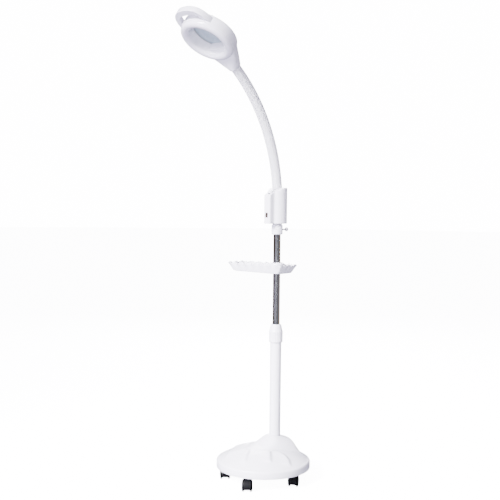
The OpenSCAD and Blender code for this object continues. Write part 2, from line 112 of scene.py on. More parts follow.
class Surface:
    """Gathers grid surfaces, each closed on itself, into one mesh."""

    def __init__(self):
        self.points, self.quads, self.triangles, self.values, self.count = [], [], [], [], 0

    def grid(self, points, ring=False, value=None):
        """Adds a grid of rows by columns. Columns close on themselves. Rows close too if ring is
        true, and otherwise the first and last row each close on a pole at their mean."""
        rows, columns = points.shape[:2]
        index = np.arange(rows * columns).reshape(rows, columns)
        here = index if ring else index[:-1]
        there = np.roll(index, -1, axis=0) if ring else index[1:]
        quads = np.stack([here, np.roll(here, -1, 1), np.roll(there, -1, 1), there], -1)
        quads = quads.reshape(-1, 4)
        flat = points.reshape(-1, 3)
        # value is each point's share of painted shade; piece keeps it in the depth attribute
        shade = np.broadcast_to(0.0 if value is None else value, (rows, columns)).reshape(-1)
        triangles = np.zeros((0, 3), int)
        if not ring:
            flat = np.vstack([flat, points[0].mean(0), points[-1].mean(0)])
            shade = np.append(shade, [shade[0], shade[-1]])
            first, last, n = index[0], index[-1], rows * columns
            triangles = np.vstack([
                np.stack([np.full(columns, n), np.roll(first, -1), first], -1),
                np.stack([np.full(columns, n + 1), last, np.roll(last, -1)], -1)])
        split = np.vstack([quads[:, [0, 1, 2]], quads[:, [0, 2, 3]], triangles])
        corner = flat[split] - flat.mean(0)
        if np.einsum("ij,ij->i", corner[:, 0], np.cross(corner[:, 1], corner[:, 2])).sum() < 0:
            quads, triangles = quads[:, ::-1], triangles[:, ::-1]
        self.points.append(flat)
        self.quads.append(quads + self.count)
        self.triangles.append(triangles + self.count)
        self.values.append(shade)
        self.count += len(flat)

    def piece(self, name, body, material, nodes=(), sharp=38):
        """Makes the mesh, in metres, and puts it on its body in place of the nodes."""
        mesh = bpy.data.meshes.new(name)
        faces = np.vstack(self.quads).tolist() + np.vstack(self.triangles).tolist()
        mesh.from_pydata((np.vstack(self.points) * MM).tolist(), [], faces)
        # the depth attribute carries each point's share of painted shade, which a finish with a groove
        # setting darkens
        mesh.attributes.new("depth", "FLOAT", "POINT").data.foreach_set(
            "value", np.concatenate(self.values).astype(np.float32))
        mesh.shade_smooth()
        mesh.set_sharp_from_angle(angle=math.radians(sharp))
        mesh.materials.append(material)
        made = bpy.data.objects.new(name, mesh)
        bpy.context.scene.collection.objects.link(made)
        if isinstance(body, str):
            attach(made, body)
        else:
            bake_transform(made)
        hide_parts(*nodes)
        return made


def fillet(corners, steps=5):
    """Rounds each (a, b, radius) corner with a parabola tangent to both of its sides."""
    spots = np.array([c[:2] for c in corners], float)
    line = []
    for i, (a, b, radius) in enumerate(corners):
        here = np.array([a, b], float)
        if radius <= 0:
            line.append(here[None])
            continue
        back, ahead = spots[i - 1] - here, spots[(i + 1) % len(corners)] - here
        start = here + back / np.linalg.norm(back) * min(radius, 0.48 * np.linalg.norm(back))
        end = here + ahead / np.linalg.norm(ahead) * min(radius, 0.48 * np.linalg.norm(ahead))
        s = np.linspace(0, 1, steps + 1)[:, None]
        line.append((1 - s) ** 2 * start + 2 * s * (1 - s) * here + s ** 2 * end)
    return np.vstack(line)


def axes(z_axis, x_axis=(1, 0, 0)):
    """Columns are a right-handed frame with that Z and the part of that X square to it."""
    z = np.array(z_axis, float) / np.linalg.norm(z_axis)
    x = np.array(x_axis, float) - np.dot(x_axis, z) * z
    x /= np.linalg.norm(x)
    return np.column_stack([x, np.cross(z, x), z])


def placed(points, origin=(0, 0, 0), turned=np.eye(3)):
    """Points of a local frame, in the row frame."""
    return points @ turned.T + np.array(origin, float)


def turned(profile, segments=96, flutes=None):
    """Carries (radius, height) points round the Z axis: x = r cos a, y = r sin a. flutes(a, height)
    gives what is taken off the radius."""
    angle = np.linspace(0, 2 * math.pi, segments, endpoint=False)
    r = np.repeat(profile[:, :1], segments, 1)
    z = np.repeat(profile[:, 1:], segments, 1)
    if flutes is not None:
        r = r - flutes(angle[None], z)
    return np.stack([r * np.cos(angle), r * np.sin(angle), z], -1)


def step(low_edge, high_edge, x):
    """0 below the low edge, 1 above the high one, and 3t^2 - 2t^3 between."""
    t = np.clip((x - low_edge) / (high_edge - low_edge), 0, 1)
    return t * t * (3 - 2 * t)


def smooth_max(a, b, width):
    """The larger of two heights, rounded where they are within the width of each other."""
    h = np.clip(0.5 + 0.5 * (a - b) / width, 0, 1)
    return b + (a - b) * h + width * h * (1 - h)


# ---------- finishes ----------

class Value:
    """A shader socket that takes part in arithmetic. Each operation adds a Math node."""

    def __init__(self, shader, socket):
        self.shader, self.socket = shader, socket

    def math(self, operation, a, b):
        return self.shader.node("ShaderNodeMath", {"operation": operation}, {0: a, 1: b})

    def __add__(self, other):
        return self.math("ADD", self, other)

    def __sub__(self, other):
        return self.math("SUBTRACT", self, other)

    def __mul__(self, other):
        return self.math("MULTIPLY", self, other)

    def __rsub__(self, other):
        return self.math("SUBTRACT", other, self)

    def __pow__(self, other):
        return self.math("POWER", self, other)

    __radd__, __rmul__ = __add__, __mul__


class Shader:
    """A material and the one method that adds its nodes."""

    def __init__(self, name):
        self.material = bpy.data.materials.new(name)
        self.material.use_nodes = True
        self.tree = self.material.node_tree
        self.tree.nodes.clear()

    def node(self, kind, settings=None, inputs=None, output=0):
        """Adds a node: its settings first, then the values or links of its sockets."""
        made = self.tree.nodes.new(kind)
        for key, setting in (settings or {}).items():
            if key == "stops":
                while len(made.color_ramp.elements) < len(setting):
                    made.color_ramp.elements.new(0.5)
                for element, (spot, colour) in zip(made.color_ramp.elements, setting):
                    element.position, element.color = spot, (*colour, 1)
            else:
                setattr(made, key, setting)
        for key, given in (inputs or {}).items():
            if isinstance(given, Value):
                self.tree.links.new(given.socket, made.inputs[key])
            else:
                made.inputs[key].default_value = given
        return Value(self, made.outputs[output]) if made.outputs else None

    def spot(self):
        """The object's own coordinates."""
        return self.node("ShaderNodeTexCoord", output="Object")

    def noise(self, scale, detail=3.0, stretch=(1, 1, 1), roughness=0.5):
        where = self.spot()
        if stretch != (1, 1, 1):
            where = self.node("ShaderNodeMapping", None, {"Vector": where, "Scale": stretch})
        return self.node("ShaderNodeTexNoise", None, {
            "Vector": where, "Scale": scale, "Detail": detail, "Roughness": roughness})

    def blend(self, amount, first, second):
        """Mixes two colours."""
        return self.node("ShaderNodeMix", {"data_type": "RGBA"}, {0: amount, 6: first, 7: second}, 2)

    def bump(self, height, strength, distance):
        return self.node("ShaderNodeBump", None, {
            "Height": height, "Strength": strength, "Distance": distance})

    def surface(self, inputs):
        out = self.node("ShaderNodeBsdfPrincipled", None, inputs)
        self.node("ShaderNodeOutputMaterial", None, {"Surface": out})
        return self.material


def rgba(colour, gain=1.0):
    return (*[min(1.0, c * gain) for c in colour], 1.0)


def moulded(name, colour, roughness=0.32, coat=0.25, peel=0.25, grain=900.0, groove=0.0,
             polish=0.12):
    """Moulded plastic: faint clouding of the colour, drifting gloss, and a fine surface peel. With a groove
    share it also carries painted shade: the colour darkens towards 0.62 of itself where the mesh's depth
    attribute is high.
    """
    s = Shader(name)
    cloud = s.noise(9.0, 4.0)
    fine = s.noise(grain, 2.0)
    smear = s.noise(34.0, 3.0, (1, 1, 0.35))
    tone = s.blend(cloud, rgba(colour, 0.965), rgba(colour, 1.02))
    # painted shade: the depth attribute, scaled by groove, darkens the colour where shade falls in grooves
    # and gaps
    if groove:
        depth = s.node("ShaderNodeAttribute", {"attribute_name": "depth"}, output="Fac")
        tone = s.blend(depth * groove, tone, rgba(colour, 0.62))
    return s.surface({
        "Base Color": tone,
        "Roughness": roughness - 0.06 + smear * 0.12,
        "Coat Weight": coat,
        "Coat Roughness": polish,
        "Specular IOR Level": 0.5,
        "Normal": s.bump(fine, peel, 0.00004),
    })


def metal(name, colour, roughness, streak, grain=260.0):
    """Plated or turned metal, with fine lines along the tube and a drifting gloss."""
    s = Shader(name)
    lines = s.noise(grain, 3.0, streak)
    drift = s.noise(14.0, 3.0)
    return s.surface({
        "Base Color": s.blend(drift, rgba(colour, 0.94), rgba(colour, 1.03)),
        "Metallic": 1.0,
        "Roughness": roughness + drift * roughness * 0.5 + lines * 0.03,
        "Normal": s.bump(lines, 0.03, 0.00003),
    })


def rough_black(name, colour, dust, specular=0.15):
    """Hard black or dark grey plastic with a little pale dust in its grain."""
    s = Shader(name)
    patch = s.noise(60.0, 5.0)
    fine = s.noise(700.0, 2.0)
    return s.surface({
        "Base Color": s.blend((patch * fine) * dust, rgba(colour), (0.05, 0.05, 0.055, 1)),
        "Roughness": 0.36 + patch * 0.22,
        "Specular IOR Level": specular,
        "Normal": s.bump(fine, 0.3, 0.00006),
    })


def glass(name, colour):
    """Clear glass with a faint cool tint and the slightest ripple."""
    s = Shader(name)
    ripple = s.noise(16.0, 2.0)
    return s.surface({
        "Base Color": s.blend(ripple, rgba(colour, 0.985), rgba(colour, 1.0)),
        "Roughness": 0.015 + ripple * 0.01,
        "Transmission Weight": 0.82,
        "IOR": 1.45,
        "Coat Weight": 0.3,
    })


def board(name):
    """Circuit board: green lacquer over straight copper tracks."""
    s = Shader(name)
    cells = s.node("ShaderNodeTexBrick", None, {
        "Vector": s.spot(), "Scale": 120.0, "Color1": (0.05, 0.22, 0.11, 1),
        "Color2": (0.06, 0.28, 0.14, 1), "Mortar": (0.35, 0.3, 0.1, 1), "Mortar Size": 0.03})
    fine = s.noise(300.0, 2.0)
    return s.surface({
        "Base Color": cells,
        "Roughness": 0.35 + fine * 0.2,
        "Normal": s.bump(fine, 0.15, 0.00005),
    })


FINISHES = {}


# ---------- sizes and colours that a user may change ----------

def length_setting(name, text, value):
    return bpy.props.FloatProperty(name=name, description=text, default=value, min=0.0001,
                                   unit="LENGTH", subtype="DISTANCE")


def colour_setting(name, text, value):
    return bpy.props.FloatVectorProperty(name=name, description=text, default=value, size=3,
                                         min=0.0, max=1.0, subtype="COLOR")


class LampSizes(bpy.types.PropertyGroup):
    rib_pitch: length_setting("Rib pitch", "Distance between ribs of the gooseneck's sleeve", 0.0035)
    rib_depth: length_setting("Rib depth", "Depth of the grooves between the ribs", 0.0012)
    crown_rise: length_setting("Fairing rise", "Height of the foot's fairing above its dome", 0.035)
    crease_height: length_setting("Crease height", "Height of the foot's moulded creases", 0.0045)
    scallop_depth: length_setting("Scallop depth", "Depth of the scallops in the tray's rim", 0.0045)
    head_lean: bpy.props.FloatProperty(
        name="Head lean", description="Lean of the ring head's long axis from the vertical",
        default=math.radians(57.2), unit="ROTATION", subtype="ANGLE")


class LampColours(bpy.types.PropertyGroup):
    body: colour_setting("Body", "Glossy white of the foot, tray, housing and head", (0.83, 0.825, 0.88))
    sleeve: colour_setting("Sleeve", "Soft white of the gooseneck", (0.82, 0.82, 0.85))
    shroud: colour_setting("Shroud", "Milky white of the lit side", (0.85, 0.84, 0.91))
    lens: colour_setting("Lens", "Tint of the lens", (0.76, 0.93, 0.95))
    chrome: colour_setting("Chrome", "Colour of the plated tube", (0.62, 0.62, 0.64))
    wheel: colour_setting("Wheels", "Black of the caster wheels", (0.0012, 0.0012, 0.0014))
    hood: colour_setting("Hoods", "Dark grey of the caster hoods", (0.0035, 0.0035, 0.004))
    rocker: colour_setting("Rocker", "Dark brown of the rocker switch", (0.026, 0.017, 0.014))
    floor: colour_setting("Floor", "Pale floor", (0.93, 0.93, 0.94))


def sizes():
    return bpy.context.scene.lamp_sizes


def colours():
    return bpy.context.scene.lamp_colours


class Piece:
    """What every operator here shares."""

    bl_options = {"REGISTER", "UNDO"}

    def execute(self, context):
        self.make()
        return {"FINISHED"}


class LAMP_OT_finishes(Piece, bpy.types.Operator):
    """Make the finishes that the pieces share"""

    bl_idname = "lamp.finishes"
    bl_label = "Finishes"

    def make(self):
        c = colours()
        FINISHES.update({
            "gloss_white": moulded("gloss_white", c.body),
            # the sleeve's finish paints shade into the grooves between its ribs
            "sleeve_white_groove_shade": moulded("sleeve_white_groove_shade", c.sleeve, 0.42, 0.0, 0.3, 1200.0, 0.9),
            # the collar's finish paints shade on its neck, where it meets the housing
            "collar_white_neck_shade": moulded("collar_white_neck_shade", c.body, groove=1.0),
            "tube_white": moulded("tube_white", c.body, 0.28, 0.35, 0.35, 520.0),
            "underside": moulded("underside", (0.7, 0.7, 0.72), 0.5, 0.0, 0.4),
            "milky_shroud": moulded("milky_shroud", c.shroud, 0.17, 1.0, 0.1, 500.0, polish=0.035),
            "knob_pale": moulded("knob_pale", (0.8, 0.8, 0.83), 0.3, 0.2, 0.3),
            "grey_moulding": moulded("grey_moulding", (0.32, 0.33, 0.36), 0.45, 0.0, 0.4),
            # a dark finish for the painted shadow in the gap round the push button
            "gap_shade_dark": rough_black("gap_shade_dark", (0.02, 0.021, 0.026), 0.1),
            "chrome": metal("chrome", c.chrome, 0.06, (6, 6, 0.4)),
            "zinc": metal("zinc", (0.3, 0.3, 0.32), 0.25, (1, 1, 6)),
            "iron": metal("iron", (0.12, 0.12, 0.13), 0.5, (1, 1, 1)),
            "wheel_black": rough_black("wheel_black", c.wheel, 0.05, 0.06),
            "hood_grey": rough_black("hood_grey", c.hood, 0.05, 0.06),
            "rocker_brown": moulded("rocker_brown", c.rocker, 0.3, 0.1, 0.2),
            "lens_glass": glass("lens_glass", c.lens),
            "board": board("board"),
        })
        worn = {
            "gloss_white": [], "tube_white": [], "underside": ["base_plate"],
            "iron": ["base_weight"],
            "zinc": ["base_screws", "pole_socket", "socket_bolts", "housing_screws", "head_screws"]
            + [f"caster_{part}_{i}" for i in range(1, 6) for part in ("stem", "axle")],
            "grey_moulding": ["collet", "tube_bush", "ferrule_upper"],
            "board": ["driver_board", "led_ring"],
        }
        for finish, nodes in worn.items():
            for node in nodes:
                slots = frame["nodes"][node].data.materials
                slots.clear()
                slots.append(FINISHES[finish])


# ---------- foot ----------

def near_line(x, y, line):
    """Distance from each point to a polyline, how far along it the nearest spot is (0 to 1),
    and which side of it the point lies on."""
    line = np.array(line, float)
    runs = np.linalg.norm(np.diff(line, axis=0), axis=1)
    passed = np.concatenate([[0], np.cumsum(runs)])
    best = np.full(x.shape, 1e9)
    along, side = np.zeros(x.shape), np.zeros(x.shape)
    for start, end, run, before in zip(line[:-1], line[1:], runs, passed):
        d = (end - start) / run
        t = np.clip((x - start[0]) * d[0] + (y - start[1]) * d[1], 0, run)
        away = np.hypot(x - start[0] - t * d[0], y - start[1] - t * d[1])
        across = d[0] * (y - start[1]) - d[1] * (x - start[0])
        closer = away < best
        along = np.where(closer, (before + t) / passed[-1], along)
        side = np.where(closer, np.sign(across), side)
        best = np.minimum(best, away)
    return best, along, side


def polar(spots):
    """(radius, degrees) spots about the foot's centre, as x and y."""
    return [(r * math.cos(math.radians(a)), r * math.sin(math.radians(a))) for r, a in spots]


def foot_height(x, y, crown, rise, crease):
    """Height of the foot's cover over (x, y) about its centre: a spherical cap, a fairing that
    climbs towards the back and falls steeply, and soft creases with one steep side."""
    cap = crown - (289 - np.sqrt(np.maximum(289 ** 2 - x ** 2 - y ** 2, 0)))
    back = y - COLUMN_BACK
    climb = step(-80, -8, back) * (1 - step(46, 86, back))
    width = 54 + 5 * step(-40, 30, back)
    across = np.clip(1 - (np.abs(x) / width) ** 4, 0, 1) ** 1.3
    pad = 3.2 * (1 - step(46, 55, np.hypot(x, y)))
    height = cap + np.maximum(rise * climb * across, pad)
    creases = [
        [(58, 0), (84, 11), (104, 12), (122, 9), (148, 2)],
        [(52, -14), (80, -19), (122, -24)],
        [(56, -88), (90, -74), (130, -63)],
    ]
    for line in creases:
        for mirror in (1, -1):
            spots = [(mirror * px, py) for px, py in polar(line)]
            away, along, side = near_line(x, y, spots)
            steep = np.where(side * mirror > 0, 6.5, 20.0)
            fade = step(0, 0.25, along) * (1 - step(0.85, 1.0, along))
            height = height + crease * fade * np.exp(-(away / steep) ** 2)
    return height


class LAMP_OT_foot(Piece, bpy.types.Operator):
    """Make the foot's cover with its fairing and creases"""

    bl_idname = "lamp.foot"
    bl_label = "Foot"

    def make(self):
        edge_z = low("base_cover")[2]
        angle = np.linspace(0, 2 * math.pi, 288, endpoint=False)[None]
        crown = FOOT_CROWN
        bore = COLUMN_BORE
        rise, crease = sizes().crown_rise / MM, sizes().crease_height / MM

        def sheet(share, reach, sunk):
            """Blends the bore round the column into a circle of that reach round the foot's centre."""
            x = ((1 - share) * bore + share * reach) * np.cos(angle)
            y = (1 - share) * COLUMN_BACK + ((1 - share) * bore + share * reach) * np.sin(angle)
            return np.stack([x, y, foot_height(x, y, crown, rise, crease) - sunk], -1)

        top = sheet(np.linspace(0, 1, 100)[:, None], FOOT_RADIUS - 8, 0)
        edge = top[-1, :, 2] - (edge_z + 20)
        turn = np.linspace(0, math.pi / 2, 9)[1:, None]
        ring = FOOT_RADIUS - 8 + 8 * np.sin(turn)
        over = np.stack([ring * np.cos(angle), ring * np.sin(angle),
                         edge_z + 20 + edge[None] * np.cos(turn)], -1)
        wall = [
            (FOOT_RADIUS, edge_z + 12), (FOOT_RADIUS, edge_z + 1.2), (FOOT_RADIUS - 0.4, edge_z + 0.3),
            (FOOT_RADIUS - 1.2, edge_z), (FOOT_RADIUS - 2.2, edge_z), (FOOT_RADIUS - 3, edge_z + 1),
            (FOOT_RADIUS - 3, edge_z + 18), (FOOT_RADIUS - 6, edge_z + 22)]
        skirt = turned(np.array(wall), 288)
        under = sheet(np.linspace(1, 0, 32)[:, None], FOOT_RADIUS - 11, 3.0)
        cover = Surface()
        cover.grid(placed(np.concatenate([top, over, skirt, under]), (*FOOT_CENTRE[:2], 0),
                          np.array(Matrix.Rotation(FOOT_TURN, 3, "Z"))), ring=True)
        cover.piece("foot_cover", "foot", FINISHES["gloss_white"],
                    ["base_cover"], 60)


# ---------- casters ----------

class LAMP_OT_casters(Piece, bpy.types.Operator):
    """Make the five twin-wheel casters"""

    bl_idname = "lamp.casters"
    bl_label = "Casters"

    def make(self):
        wheel = fillet([(0.01, 8.0, 0), (7.5, 8.2, 1.5), (14.5, 7.6, 3), (18.6, 6.4, 2.4), (20, 3.4, 2.2),
                        (20, 0.6, 0.8), (18.5, 0, 0.5), (0.01, 0, 0)], 5)
        for i in range(1, 6):
            pin, axle = middle(f"caster_stem_{i}"), middle(f"caster_axle_{i}")
            trail = np.array([axle[0] - pin[0], axle[1] - pin[1], 0])
            across = np.cross((0, 0, 1), trail / np.linalg.norm(trail))
            wheels = Surface()
            for side in (-1, 1):
                wheels.grid(placed(turned(wheel, 64), axle + side * 9.9 * across,
                                   axes(side * across, (0, 0, 1))))
            wheels.piece(f"caster_wheels_{i}_tyred", f"wheels_{i}",
                         FINISHES["wheel_black"], [f"caster_wheels_{i}"])
            hood = Surface()
            # outline round the axle: a circle cut flat below, narrowed towards both cheeks
            a = np.linspace(0, 2 * math.pi, 72, endpoint=False)[None]
            cut = np.where(np.sin(a) < -0.2, 9.0 / np.maximum(-np.sin(a), 0.2), 60)
            outline = np.minimum(21.2, cut)
            cheek = np.array([(-9.5, 0.90), (-9.3, 0.955), (-8.4, 0.985), (-6.0, 1.0), (0.0, 1.0),
                              (6.0, 1.0), (8.4, 0.985), (9.3, 0.955), (9.5, 0.90)])
            r = outline * cheek[:, 1:]
            shell = np.stack([r * np.cos(a), np.repeat(cheek[:, :1], 72, 1), r * np.sin(a)], -1)
            hood.grid(placed(shell, axle, axes((0, 0, 1), trail)))
            # fender: a band with rolled edges, carried round the axle and arched at both ends
            half = 14.0
            band = fillet([(-half, 20.8, 0.4), (half, 20.8, 0.4), (half, 21.6, 0.6), (half - 3, 22.5, 2.5),
                           (-half + 3, 22.5, 2.5), (-half, 21.6, 0.6)], 4)
            a = np.linspace(-1, 1, 61)[:, None]
            arch = np.radians(112 + 7 * (band[:, 0] / half) ** 4)
            wrap = a * arch[None] + math.pi / 2
            ring = np.stack([band[None, :, 1] * np.cos(wrap), np.broadcast_to(band[:, 0], wrap.shape),
                             band[None, :, 1] * np.sin(wrap)], -1)
            hood.grid(placed(ring, axle, axes((0, 0, 1), trail)))
            boss = fillet([(0.01, 14, 0), (9.0, 14, 1), (9.6, 30, 3), (8.6, 43.6, 1.2), (0.01, 43.6, 0)], 3)
            hood.grid(placed(turned(boss, 40), (pin[0], pin[1], 0)))
            hood.piece(f"caster_hood_{i}_smooth", f"caster_{i}",
                       FINISHES["hood_grey"], [f"caster_hood_{i}"])


# ---------- column ----------

def pipe(name, body, finish, node, r_out, r_in, rounding=0.6, segments=96):
    """A plain tube with rounded ends, where its node is."""
    z0, z1 = low(node)[2], high(node)[2]
    rows = fillet([(r_in, z0, 0), (r_out, z0, rounding), (r_out, z1, rounding), (r_in, z1, rounding)], 3)
    made = Surface()
    made.grid(turned(rows, segments), ring=True)
    return made.piece(name, body, FINISHES[finish], [node])


class LAMP_OT_column(Piece, bpy.types.Operator):
    """Make the telescopic tubes and the twist lock"""

    bl_idname = "lamp.column"
    bl_label = "Column"

    def make(self):
        pipe("lower_tube_coated", "foot", "tube_white", "lower_tube", 19.0, 17.5)
        pipe("chrome_tube_plated", "column", "chrome", "chrome_tube", 12.5, 11.3, 0.4, 128)
        z0, z1 = low("twist_collar")[2], high("twist_collar")[2]
        grip = z0 + 41
        rows = fillet([
            (19.1, z0, 0), (22.6, z0, 1.0), (23.5, z0 + 4, 1.2), (23.5, z0 + 14, 0), (23.5, grip - 6, 0),
            (23.5, grip - 3, 1.2), (22.3, grip, 1.2), (21.6, grip + 1.5, 0.8), (18.3, z1 - 3.5, 3),
            (15.8, z1, 1.2), (12.9, z1, 0.5), (12.9, z1 - 4, 1), (16.4, z1 - 9, 0), (20.2, z1 - 22, 0),
            (19.1, z1 - 30, 0)], 4)
        rows = np.vstack([rows, [[19.1, z0 + 8]]])

        def flutes(a, z):
            ridge = np.clip(np.cos(a * 24), -0.2, 1) + 0.2
            return 0.75 * ridge * step(z0 + 3, z0 + 7, z) * (1 - step(grip - 7, grip - 4, z))

        inner = len(rows) - 12
        keep = np.arange(len(rows))[:, None] < inner
        collar = Surface()
        collar.grid(turned(rows, 288, lambda a, z: flutes(a, z) * keep), ring=True)
        collar.piece("twist_collar_fluted", "twist_lock", FINISHES["gloss_white"],
                     ["twist_collar"], 50)


# ---------- tray ----------

def rounded_box(half_x, half_y, corner, n=240):
    """Outline of a rectangle with round corners: n points spaced evenly along its length from the middle of
    the +X side, straight along the sides and on quarter circles of that radius at the corners."""
    a = np.linspace(0, 2 * math.pi, n, endpoint=False)
    straight_x, straight_y = half_x - corner, half_y - corner
    total = 4 * (straight_x + straight_y) + 2 * math.pi * corner
    s = a / (2 * math.pi) * total
    quarter = math.pi / 2 * corner
    marks = np.cumsum([0, straight_y, quarter, 2 * straight_x, quarter, 2 * straight_y, quarter,
                       2 * straight_x, quarter, straight_y])
    x = np.interp(s, marks, [half_x, half_x, straight_x, -straight_x, -half_x, -half_x, -straight_x,
                             straight_x, half_x, half_x])
    y = np.interp(s, marks, [0, straight_y, half_y, half_y, straight_y, -straight_y, -half_y,
                             -half_y, -straight_y, 0])
    for k, (cx, cy, turn) in enumerate([(1, 1, 0), (-1, 1, 90), (-1, -1, 180), (1, -1, 270)]):
        start = marks[1 + 2 * k]
        inside = (s >= start) & (s <= start + quarter)
        t = math.radians(turn) + (s - start) / max(corner, 1e-6)
        x = np.where(inside, cx * straight_x + corner * np.cos(t), x)
        y = np.where(inside, cy * straight_y + corner * np.sin(t), y)
    return x, y


class LAMP_OT_tray(Piece, bpy.types.Operator):
    """Make the tray with its scalloped walls and the ring that carries it"""

    bl_idname = "lamp.tray"
    bl_label = "Tray"

    def make(self):
        turn = math.radians(3)
        about = np.array(Matrix.Rotation(turn, 3, "Z"))
        base = low("tray")[2]
        length, width, end_flare, side_flare, wall = 106.5, 35.0, 20.0, 10.0, 33.0
        dip = sizes().scallop_depth / MM
        # rows climb the outer wall, cross the rim, go down the inner wall and close on the floor
        rows = [(0.0, 0.0, 0.0), (0.0, 2.0, 0.35), (0.25, 8.2, 0.8), (0.5, 16.5, 1.0), (0.75, 24.7, 1.0),
                (0.97, 32, 1.0), (1.0, 32.8, 1.0), (1.0, 33.2, 1.0), (0.97, 32.6, 1.0),
                (0.72, 24.7, 1.0), (0.47, 16.5, 1.0), (0.22, 8.2, 0.8), (0.05, 3.4, 0.4), (0.0, 2.5, 0.1)]
        inward = [9, 0, 0, 0, 0, 0, 0.3, 1.2, 1.9, 2, 2, 2, 2.6, 4.5]
        shell = []
        for (flare, lift, wave), inset in zip(rows, inward):
            hx = length + end_flare * flare - inset
            hy = width + side_flare * flare - inset
            x, y = rounded_box(hx, hy, 7 + 3 * flare)
            along_x, along_y = x / hx, y / hy
            phase = np.where(np.abs(np.abs(y) - hy) < 0.5, along_x * 3.5, along_y * 1.5 + 0.5)
            swell = np.cos(2 * math.pi * phase)
            out = 1.8 * wave * flare ** 3 * swell
            nx = np.where(np.abs(np.abs(x) - hx) < 0.5, np.sign(x), 0)
            ny = np.where(np.abs(np.abs(y) - hy) < 0.5, np.sign(y), 0)
            z = base + lift - dip * (0.5 + 0.5 * swell) * (lift / wall) ** 3
            shell.append(np.stack([x + nx * out, y + ny * out, z], -1))
        tray = Surface()
        tray.grid(placed(placed(np.array(shell), (-68, 0, 0)), (0, 0, 0), about))
        boss_top = high("tray")[2]
        boss = fillet([(19.0, base + 0.5, 0), (25.5, base + 0.5, 0), (25.5, boss_top - 4, 4),
                       (20.0, boss_top, 2.5), (15.1, boss_top, 0.5), (15.1, base + 4.3, 0),
                       (19.0, base + 4.3, 0)], 6)
        tray.grid(turned(boss, 96), ring=True)
        tray.piece("tray_scalloped", "tray", FINISHES["gloss_white"], ["tray"], 45)
        z0, z1 = low("tray_ring")[2], high("tray_ring")[2]
        ring = fillet([(12.6, z0, 0.3), (18.5, z0, 0.6), (18.5, z0 + 3, 0.6), (15, z0 + 3, 0),
                       (15, z1, 0.6), (12.6, z1, 0.4)], 4)
        carrier = Surface()
        carrier.grid(turned(ring, 96), ring=True)
        carrier.piece("tray_ring_turned", "tray_carrier", FINISHES["gloss_white"],
                      ["tray_ring"])


# ---------- control housing ----------

def housing_outline(angle):
    """Distance from the axis to the housing's side: a circle joined to a lobe with round corners."""
    c, s = np.cos(angle), np.sin(angle)
    side = 14.5 / np.maximum(np.abs(c), 1e-6)
    front = np.where(s < 0, 52 / np.maximum(-s, 1e-6), 0)
    lobe = np.minimum(side, front)
    corner = np.hypot(8.5, 46)
    lean = np.abs(np.arctan2(8.5, 46) - np.arccos(np.clip(-s, -1, 1)))
    bend = corner * np.cos(lean) + np.sqrt(np.maximum(36 - (corner * np.sin(lean)) ** 2, 0))
    x, y = lobe * c, lobe * s
    lobe = np.where((np.abs(x) > 8.5) & (y < -46), np.minimum(lobe, bend), lobe)
    return np.where(s < 0, smooth_max(np.where(s < 0, lobe, 0), 33.0, 7.0), 33.0)


